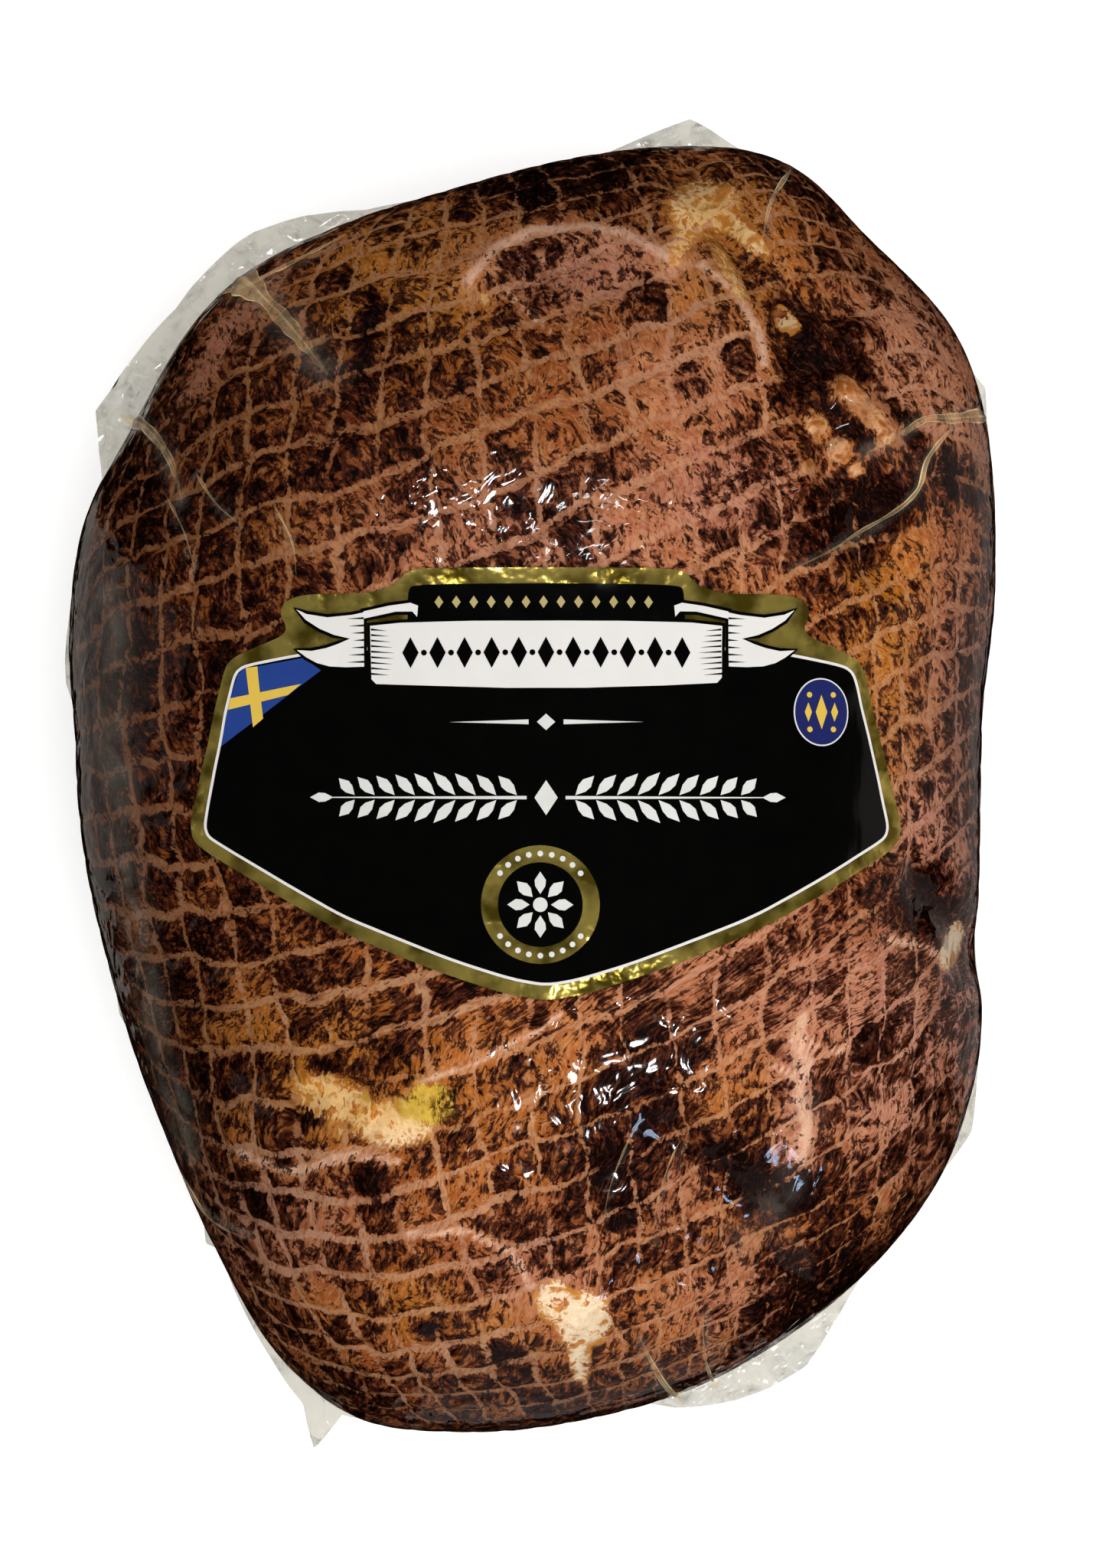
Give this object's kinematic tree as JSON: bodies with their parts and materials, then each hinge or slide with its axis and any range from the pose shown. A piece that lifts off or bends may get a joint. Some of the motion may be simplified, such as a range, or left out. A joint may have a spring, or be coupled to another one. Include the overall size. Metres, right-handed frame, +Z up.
{
  "type": "whole cooked ham in clear film",
  "caption": "A whole browned boneless ham with net marks, shrunk into clear film with loose ears at the side seam, and a die-cut paper label on its upper face.",
  "frame": {"origin": "The middle of the ham's outline, on the small flat that it rests on.", "axes": "+Z is up, out of the labelled face; +Y runs along the ham's long side towards the label's top; +X is to the right as the label is read."},
  "size_m": [0.2085, 0.2988, 0.1356],
  "materials": {
    "filmed_ham": "wet gloss, browned meat under clear film",
    "printed_label": "coated black paper with gold foil edge"
  },
  "bodies": {
    "root": {"sealed_ham": "filmed_ham", "label": "printed_label"}
  },
  "joints": []
}
